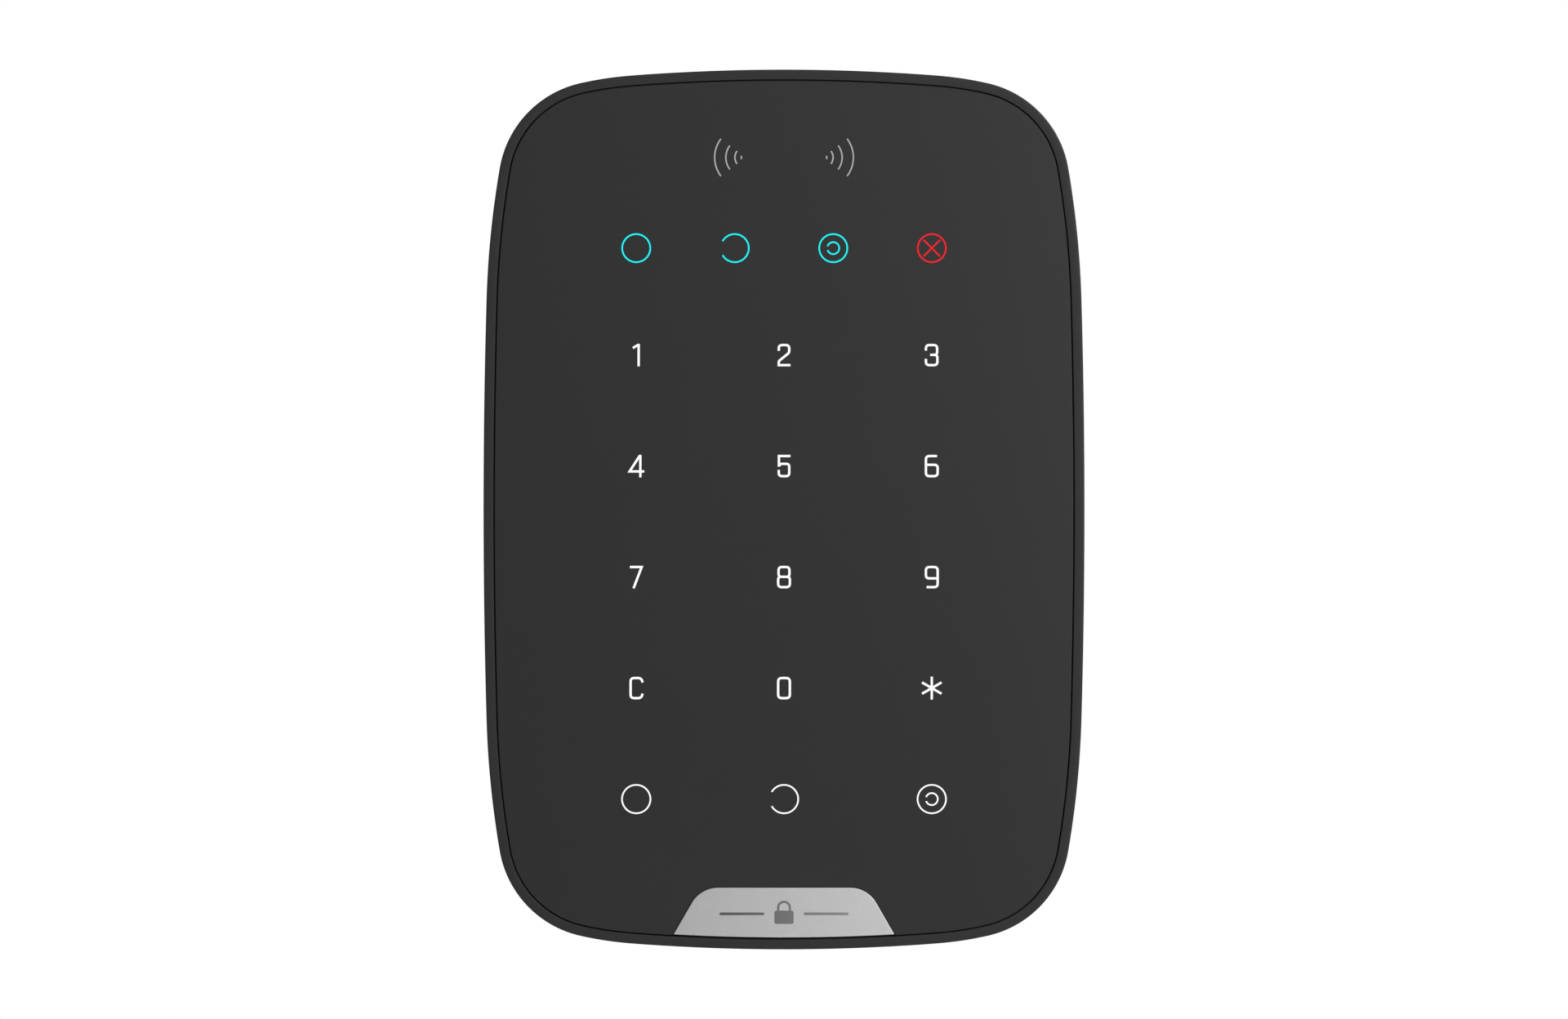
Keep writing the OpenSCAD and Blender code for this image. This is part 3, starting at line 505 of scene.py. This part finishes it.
# The front shell's cross-section as one closed loop of (depth, inset).
FLANK = [
    (JOINT_D, SEAM_INSET), (9.04, 0.70), (9.12, 0.60), (9.3, 0.42), (9.6, 0.33), (10.4, 0.24), (12.5, 0.1),
    (14.0, 0.03), (15.5, 0.0), (17.5, 0.0),
]
RIM = [
    (19.4, 0.0), (19.53, 0.006), (19.62, 0.03), (19.7, 0.08), (19.755, 0.14), (19.79, 0.22),
    (RIM_FRONT, 0.32), (RIM_FRONT, 1.76), (19.79, 1.81), (19.76, 1.85), (19.7, POCKET_INSET),
]
POCKET = [(DECK_FRONT, POCKET_INSET), (DECK_FRONT, DECK_EDGE), (DECK_BACK, DECK_EDGE)]
INNER_WALL = [(DECK_BACK, FRONT_WALL_INSET), (JOINT_D, FRONT_WALL_INSET)]
FRONT_LOOP = FLANK + RIM + POCKET + INNER_WALL
front_shell = smooth(loft("front_shell", FRONT_LOOP, closed_loop=True), 40)
place(front_shell, "front_shell", "keypad", "rim_plastic", ["front_housing"])

# The deck that the panel lies on, with a light well behind each sign and room for the cells.
deck = layer("deck", outline(DECK_EDGE - 0.05, DECK_STEPS), DECK_BACK + 0.02, DECK_FRONT - 0.02)
deck_tools = [
    rod(x, z, DECK_BACK - OVERCUT, DECK_FRONT + OVERCUT, WELL_R) for x, z in KEY_PLACES + STATUS_PLACES
]
for x in (-CELL_X, CELL_X):
    x0, x1 = x - BAY_HALF_W, x + BAY_HALF_W
    deck_tools.append(block(x0, x1, -BAY_HALF_H, BAY_HALF_H, BAY_CUT_BACK, BAY_CUT_FRONT))
boolean(deck, deck_tools, "DIFFERENCE")
bosses = [rod(x, z, BOARD_BOSS_D, DECK_BACK + 0.1, BOARD_BOSS_R) for x, z in BOARD_SCREWS]
bosses += [rod(x, z, JOINT_D, DECK_BACK + 0.1, FRONT_BOSS_R) for x, z in SCREW_PLACES]
boolean(deck, bosses, "UNION")
place(smooth(deck), "front_deck", "keypad", "rim_plastic", ["front_housing"])

# The rear shell's back edge, flank and seam, as (depth, inset).
REAR_PROFILE = [
    (REAR_FACE, 2.75), (0.42, 2.52), (0.5, 2.3), (0.65, 2.05), (0.85, 1.80), (1.1, 1.6), (1.6, 1.36),
    (2.4, 1.15), (3.5, 0.92), (5.0, 0.7), (7.0, 0.5), (8.5, 0.42), (8.75, 0.46), (8.9, 0.58),
    (JOINT_D, SEAM_INSET),
]
REAR_WALL_INSET = WALL + 0.6
REAR_EDGE_R = 0.14
ROLL_GAP = 0.3  # round the rolled edge of a door
CATCH_HALF_W, CATCH_H = 3.4, 1.0
NOTCH_BALL_R, NOTCH_BALL_D = 3.6, 1.9
SCREW_SINK_R, SCREW_SINK_D, SCREW_SHANK_R = 2.9, 3.0, 1.5
PLUNGER_GUIDE_R, POWER_HOLE_R, GUIDE_D = 1.56, 3.32, 8
PLUNGER_BOSS_R, PLUNGER_BOSS_H = 3.2, 1.8
VENT_R, VENT_RING_R, VENT_D = 0.7, 2.2, 5


def recess_points(grow):
    """The recess that the mounting plate slides in, grown by grow."""
    low = -PLATE_H / 2 - SLIDE_TRAVEL - PLATE_GAP
    high = PLATE_H / 2 + PLATE_GAP
    width, height = PLATE_W + 2 * PLATE_GAP, high - low
    return round_rect(0, (low + high) / 2, width + 2 * grow, height + 2 * grow, PLATE_R + PLATE_GAP + grow)


def bay_tools(s):
    """What is cut from the rear wall for side s: the bay, door, hinge, catch slot and fingernail notch.

    Here and in bay_walls, small steps in depth keep overlapping tools from sharing a plane.
    """
    x = s * CELL_X
    x0, x1 = x - DOOR_HALF_W - DOOR_GAP, x + DOOR_HALF_W + DOOR_GAP
    top = HINGE_Z + HINGE_R + ROLL_GAP
    catch_top = -BAY_HALF_H - BAY_END_WALL
    return [
        block(x - BAY_HALF_W, x + BAY_HALF_W, -BAY_HALF_H, BAY_HALF_H, -1, REAR_INNER + 1),
        block(x0, x1, DOOR_LOW_Z - DOOR_GAP, top, -1.1, DOOR_INNER),
        cross_rod(x0, x1, HINGE_D, HINGE_Z, HINGE_R + ROLL_GAP),
        cross_rod(x0 - 1.0, x1 + 1.0, HINGE_D, HINGE_Z, HINGE_PIN_R, 20),
        block(x - CATCH_HALF_W, x + CATCH_HALF_W, catch_top - CATCH_H, catch_top, -1.2, REAR_INNER + 1.1),
        ball(x, NOTCH_BALL_D, DOOR_LOW_Z - 0.5, NOTCH_BALL_R),
    ]


def bay_walls(s):
    """The inner wall, the two end walls and the hinge block of the battery bay on side s."""
    wall_top = DECK_BACK - 0.1
    inner0, inner1 = sorted((s * (CELL_X - BAY_HALF_W - 1), s * (CELL_X - BAY_HALF_W)))
    end0, end1 = sorted((s * (CELL_X - BAY_HALF_W - 0.5), s * (CELL_X + BAY_HALF_W)))
    roll0, roll1 = sorted((s * (CELL_X - DOOR_HALF_W - 1.5), s * (CELL_X + DOOR_HALF_W + 0.9)))
    end_z = BAY_HALF_H + BAY_END_WALL
    walls = [block(inner0, inner1, -end_z, end_z, REAR_INNER - 0.25, wall_top)]
    for z in (-end_z, BAY_HALF_H):
        walls.append(block(end0, end1, z + 0.001, z + 1.199, REAR_INNER - 0.28, wall_top - 0.01))
    walls.append(block(roll0, roll1, BAY_HALF_H + 1.0, BAY_HALF_H + 4.4, REAR_INNER - 0.27, REAR_INNER + 1))
    return walls


rear = loft("rear", REAR_PROFILE)
inside = layer("inside", outline(REAR_WALL_INSET, INSIDE_STEPS), REAR_INNER, JOINT_D + OVERCUT)
boolean(rear, [inside], "DIFFERENCE")
additions = [layer("floor", recess_points(RECESS_WALL), REAR_INNER - 0.3, RECESS_INNER)]
additions += [rod(x, z, REAR_INNER - 0.3, JOINT_D - 0.02, REAR_BOSS_R) for x, z in SCREW_PLACES]
additions += [rod(0, TAMPER_Z, RECESS_INNER - 0.2, RECESS_INNER + PLUNGER_BOSS_H, PLUNGER_BOSS_R)]
for side in (-1, 1):
    additions += bay_walls(side)
boolean(rear, additions, "UNION")
tools = [layer("recess", recess_points(0), -1, RECESS_D)]
for x in (-HOOK_X, HOOK_X):
    for z in HOOK_ROWS:
        x0, x1 = x - HOOK_SLOT_HALF_W, x + HOOK_SLOT_HALF_W
        low, high = z - SLIDE_TRAVEL - HOOK_GAP, z + HOOK_SLOT_UP
        tools.append(block(x0, x1, low, high, 0, RECESS_INNER + OVERCUT))
for x, z in SCREW_PLACES:
    tools.append(rod(x, z, -0.9, SCREW_SINK_D, SCREW_SINK_R))
    tools.append(rod(x, z, 2, JOINT_D + OVERCUT, SCREW_SHANK_R))
for side in (-1, 1):
    tools += bay_tools(side)
tools += [rod(0, TAMPER_Z, 2, GUIDE_D, PLUNGER_GUIDE_R), rod(0, POWER_Z, 2, GUIDE_D, POWER_HOLE_R)]
tools += [rod(0, SOUNDER_Z, 2, VENT_D, VENT_R, n=20)]
tools += [rod(x, z, 2, VENT_D, VENT_R, n=20) for x, z in arc(0, SOUNDER_Z, VENT_RING_R, 0, 300, 5)]
boolean(rear, tools, "DIFFERENCE")
smooth(triangulated(rear), 32)
bevel(rear, REAR_EDGE_R, 40.0)
place(rear, "rear_shell", "keypad", "rear_plastic", ["rear_housing"])

# Touch panel and badge ----------------------------------------------------------------------------

BADGE_W, BADGE_TOP, BADGE_R, BADGE_FOOT_Z = 41.4, -70.9, 5.7, -79.7
BADGE_GAP, BADGE_NOTCH_BACK = 0.15, 19.18
LEAN_ANGLE = 30
LEAN = math.tan(math.radians(LEAN_ANGLE))
FOOT_STEPS = 60


def badge_points(grow, cut_inset=None):
    """The badge's outline grown by grow.

    Its foot runs past the panel, or is trimmed to the body's outline moved in by cut_inset.
    """
    top, low, r = BADGE_TOP + grow, -BODY_H / 2, BADGE_R + grow
    foot = BADGE_W / 2 + grow / math.cos(math.radians(LEAN_ANGLE)) + (BADGE_FOOT_Z - low) * LEAN
    cx, cz = foot - (top - low) * LEAN - r * LEAN, top - r
    corner = arc(cx, cz, r, LEAN_ANGLE, 90, 12)
    right = [(foot, low)] + corner
    if cut_inset is None:
        return right + [(-x, z) for x, z in reversed(right)]
    # the foot follows the trimmed outline between the points where the leaning sides meet it
    curve = sorted(p for p in outline(cut_inset, FOOT_CURVE_STEPS) if p[1] < BADGE_TOP)

    def curve_z(x):
        for (xa, za), (xb, zb) in zip(curve, curve[1:]):
            if xa <= x <= xb:
                return za + (zb - za) * (x - xa) / (xb - xa)
        raise ValueError(x)

    meet = foot
    for _ in range(30):
        meet = foot - (curve_z(meet) - low) * LEAN
    right = [(meet, curve_z(meet))] + corner
    across_foot = [meet * (2 * i / FOOT_STEPS - 1) for i in range(1, FOOT_STEPS)]
    return right + [(-x, z) for x, z in reversed(right)] + [(x, curve_z(x)) for x in across_foot]


# The panel's edge from its back to its front face, and the badge's, as (depth, inset).
PANEL_PROFILE = [
    (PANEL_BACK, PANEL_INSET), (19.83, PANEL_INSET), (19.89, PANEL_INSET + 0.01), (19.93, PANEL_INSET + 0.04),
    (19.945, PANEL_INSET + 0.08), (PANEL_FRONT, PANEL_INSET + 0.14),
]
panel = loft("panel", PANEL_PROFILE)
notch = layer("notch", badge_points(BADGE_GAP), BADGE_NOTCH_BACK, BODY_D + OVERCUT)
boolean(panel, [notch], "DIFFERENCE")
place(smooth(panel, 25), "touch_panel", "keypad", "panel_face", ["front_panel"])

BADGE_PROFILE = ((19.3, 0.0), (19.91, 0.0), (19.94, 0.01), (19.96, 0.035), (19.97, 0.08))
badge_rings = [(d, badge_points(-inset, PANEL_INSET + BADGE_GAP + inset)) for d, inset in BADGE_PROFILE]
badge = smooth(stack("badge", badge_rings), 12)
place(badge, "foot_badge", "keypad", "silver_badge", ["badge"])


def ribbon(path, width):
    """The outline of a stroke along a path, with mitred corners."""
    n = len(path)

    def normal(a, b):
        dx, dz = b[0] - a[0], b[1] - a[1]
        length = math.hypot(dx, dz)
        return -dz / length, dx / length

    left, right = [], []
    for i, p in enumerate(path):
        u = normal(path[i - 1], p) if i else normal(p, path[1])
        v = normal(p, path[i + 1]) if i < n - 1 else u
        k = width / 2 / (1 + u[0] * v[0] + u[1] * v[1])
        left.append((p[0] + (u[0] + v[0]) * k, p[1] + (u[1] + v[1]) * k))
        right.append((p[0] - (u[0] + v[0]) * k, p[1] - (u[1] + v[1]) * k))
    return left + right[::-1]


# A plain padlock between two fine rules marks the badge.
MARK_Z, MARK_BACK, MARK_FRONT = -75.6, 19.955, 19.984
SHACKLE_R, SHACKLE_Z, SHACKLE_FOOT_Z, SHACKLE_W = 1.1, 0.95, 0.2, 0.42
LOCK_W, LOCK_H, LOCK_Z, LOCK_CORNER = 3.6, 2.5, -0.85, 0.4
RULE_X, RULE_LENGTH, RULE_W, RULE_Z, RULE_CORNER = 7.9, 8.4, 0.5, -0.2, 0.24
bow = arc(0, SHACKLE_Z, SHACKLE_R, 0, 180, 15)
shackle = ribbon([(SHACKLE_R, SHACKLE_FOOT_Z)] + bow + [(-SHACKLE_R, SHACKLE_FOOT_Z)], SHACKLE_W)
lock = round_rect(0, MARK_Z + LOCK_Z, LOCK_W, LOCK_H, LOCK_CORNER)
# The lock stands a hair higher than the shackle that runs into it, so that their fronts don't share a plane.
mark_parts = [
    layer("shackle", [(x, z + MARK_Z) for x, z in shackle], MARK_BACK, MARK_FRONT + 0.001),
    layer("lock", lock, MARK_BACK, MARK_FRONT + 0.002),
]
for side in (-1, 1):
    rule = round_rect(side * RULE_X, MARK_Z + RULE_Z, RULE_LENGTH, RULE_W, RULE_CORNER)
    mark_parts.append(layer("rule", rule, MARK_BACK, MARK_FRONT))
place(joined(mark_parts), "badge_mark", "keypad", "silver_badge", material="badge_mark")

# Printed signs ------------------------------------------------------------------------------------

MODE_R, STATUS_R, NIGHT_R, RING_W = 2.66, 2.63, 1.12, 0.29
OPEN_ANGLE, NIGHT_OPEN_ANGLE = 30.0, 20.0
CROSS_LEN = 4.35
WAVE_RADII, WAVE_X, WAVE_ANGLE, WAVE_W = (5.8, 3.7, 2.0), 7.2, 37.0, 0.26
BAR_X, BAR_H, BAR_CORNER = 8.0, 0.65, 0.1
PRINT_BACK = PANEL_FRONT - 0.02


def printed(points):
    return layer("print", points, PRINT_BACK, LEGEND_FRONT)


def arc_stroke(x, z, r, width, start, end, steps):
    return printed(arc(x, z, r + width / 2, start, end, steps) + arc(x, z, r - width / 2, end, start, steps))


def ring(x, z, r):
    outer, inner = circle(x, z, r + RING_W / 2, 96), circle(x, z, r - RING_W / 2, 96)
    loops = [(PRINT_BACK, outer), (LEGEND_FRONT, outer), (LEGEND_FRONT, inner), (PRINT_BACK, inner)]
    return stack("ring", loops, closed_loop=True)


def open_ring(x, z, r, gap):
    """A ring left open on its left by gap degrees each way."""
    return arc_stroke(x, z, r, RING_W, gap - 180, 180 - gap, 72)


def mode_signs(places, r):
    """A ring for armed, an open ring for disarmed, and an open ring in a ring for night."""
    (x0, z0), (x1, z1), (x2, z2) = places
    armed, disarmed = ring(x0, z0, r), open_ring(x1, z1, r, OPEN_ANGLE)
    return [armed, disarmed, ring(x2, z2, r), open_ring(x2, z2, NIGHT_R, NIGHT_OPEN_ANGLE)]


def cross(x, z, length, width):
    """A diagonal cross: an upright one with its corners turned by 45 degrees."""
    a, b = length / 2, width / 2
    arms = [(a, -b), (a, b), (b, b), (b, a), (-b, a), (-b, b)]
    corners = arms + [(-p, -q) for p, q in arms]
    turn = math.sqrt(0.5)
    return printed([(x + (p - q) * turn, z + (p + q) * turn) for p, q in corners])


def waves(side):
    """Three arcs that open away from the middle, and a short bar at their centre."""
    middle = 0 if side > 0 else 180
    start, end = middle - WAVE_ANGLE, middle + WAVE_ANGLE
    strokes = [arc_stroke(side * WAVE_X, READER_Z, r, WAVE_W, start, end, 32) for r in WAVE_RADII]
    return strokes + [printed(round_rect(side * BAR_X, READER_Z, WAVE_W, BAR_H, BAR_CORNER, 4))]


fault_x, fault_z = STATUS_PLACES[3]
fault_strokes = [ring(fault_x, fault_z, STATUS_R), cross(fault_x, fault_z, CROSS_LEN, RING_W)]
for name, strokes, slot_name, node in (
    ("mode_signs", mode_signs(KEY_PLACES[-3:], MODE_R), "white_legend", "mode_legends"),
    ("status_signs", mode_signs(STATUS_PLACES[:3], STATUS_R), "cyan_window", "status_windows"),
    ("fault_sign", fault_strokes, "red_window", "fault_window"),
    ("reader_waves", waves(-1) + waves(1), "grey_print", "reader_marks"),
):
    place(joined(strokes), name, "keypad", slot_name, [node])

# CAD nodes that keep their shape ------------------------------------------------------------------

SLOTS = {s["node"]: s["material_slot"] for s in frame["record"]["subparts"]}
ROUNDED = {  # the radius of each node's edges
    "mounting_plate": 0.3, "battery_door_left": 0.2, "battery_door_right": 0.2, "board_screws": 0.1,
    "housing_screws": 0.12, "radio_shield": 0.3, "controller_chip": 0.12, "reader_chip": 0.12,
    "sounder": 0.25, "tamper_switch": 0.2, "power_switch": 0.2, "service_socket": 0.25,
    "power_button": 0.15, "battery_caps": 0.25, "tamper_plunger": 0.12, "crystal": 0.25, "capacitors": 0.1,
}
for name, obj in frame["nodes"].items():
    obj.data.materials.clear()
    obj.data.materials.append(MATERIALS[SLOTS[name]].material)
    smooth(obj, 30)
    if name in ROUNDED:
        merge_flat(obj)
        bevel(obj, ROUNDED[name])

# Stage, light and camera, with lengths in metres and powers in watts ------------------------------

FLOOR_DROP, FLOOR_SIZE, FLOOR_GLOW = 0.30, 3.0, 0.5
bpy.ops.mesh.primitive_plane_add(size=FLOOR_SIZE, location=(0, 0, -FLOOR_DROP))
floor = bpy.context.object
floor.name = "floor"
pale = Shader("floor_paint").set(Base_Color=(0.86, 0.86, 0.85, 1), Roughness=0.8, Emission_Color=(1, 1, 1, 1))
glow = pale.nodes.new("ShaderNodeMath")
glow.operation = "MULTIPLY"
glow.inputs[1].default_value = FLOOR_GLOW
pale.links.new(pale.nodes.new("ShaderNodeLightPath").outputs["Is Camera Ray"], glow.inputs[0])
pale.link(glow.outputs["Value"], "Emission Strength")
floor.data.materials.append(pale.material)

WORLD_SEEN, WORLD_FRONT, WORLD_BACK = 1.0, 0.42, 0.06
world = bpy.data.worlds.new("studio")
bpy.context.scene.world = world
world.use_nodes = True
tree = world.node_tree
background = tree.nodes["Background"]
background.inputs["Color"].default_value = (1, 1, 1, 1)
# The sweep behind the object is dim where it lights the flanks, and pure white where it is seen.
direction = tree.nodes.new("ShaderNodeTexCoord")
parts = tree.nodes.new("ShaderNodeSeparateXYZ")
behind = tree.nodes.new("ShaderNodeMapRange")
behind.inputs["From Min"].default_value = 0.0
behind.inputs["From Max"].default_value = 0.7
behind.inputs["To Min"].default_value = WORLD_FRONT
behind.inputs["To Max"].default_value = WORLD_BACK
seen = tree.nodes.new("ShaderNodeLightPath")
level = tree.nodes.new("ShaderNodeMix")
level.inputs["B"].default_value = WORLD_SEEN
tree.links.new(direction.outputs["Generated"], parts.inputs["Vector"])
tree.links.new(parts.outputs["Y"], behind.inputs["Value"])
tree.links.new(seen.outputs["Is Camera Ray"], level.inputs["Factor"])
tree.links.new(behind.outputs["Result"], level.inputs["A"])
tree.links.new(level.outputs["Result"], background.inputs["Strength"])


def softbox(name, place_at, target, width, height, power):
    data = bpy.data.lights.new(name, "AREA")
    data.shape = "RECTANGLE"
    data.size, data.size_y = width, height
    data.energy = power
    lamp = bpy.data.objects.new(name, data)
    lamp.location = place_at
    lamp.rotation_euler = (Vector(target) - Vector(place_at)).to_track_quat("-Z", "Y").to_euler()
    bpy.context.scene.collection.objects.link(lamp)


softbox("key_light", (0.40, -0.47, 0.22), (0.02, 0, 0), 0.3, 0.5, 3.85)
softbox("fill_light", (-0.7, -1.0, 0.1), (0, 0, 0), 0.6, 0.6, 0.9)
softbox("back_light", (0.4, 0.8, 0.45), (0, 0, 0), 0.6, 0.5, 8.0)

LENS, SENSOR = 180.0, 36.0  # millimetres
FRAME_WIDTH = 0.2939  # the width of the view at the object's front face
distance = FRAME_WIDTH * LENS / SENSOR
camera_data = bpy.data.cameras.new("camera")
camera_data.lens = LENS
camera_data.sensor_width = SENSOR
camera_data.clip_start, camera_data.clip_end = 0.05, 20.0
camera = bpy.data.objects.new("camera", camera_data)
camera.location = (0, -(distance + BODY_D * MM), 0)
camera.rotation_euler = (math.pi / 2, 0, 0)
bpy.context.scene.collection.objects.link(camera)
bpy.context.scene.camera = camera
bpy.context.scene.view_settings.view_transform = "Standard"
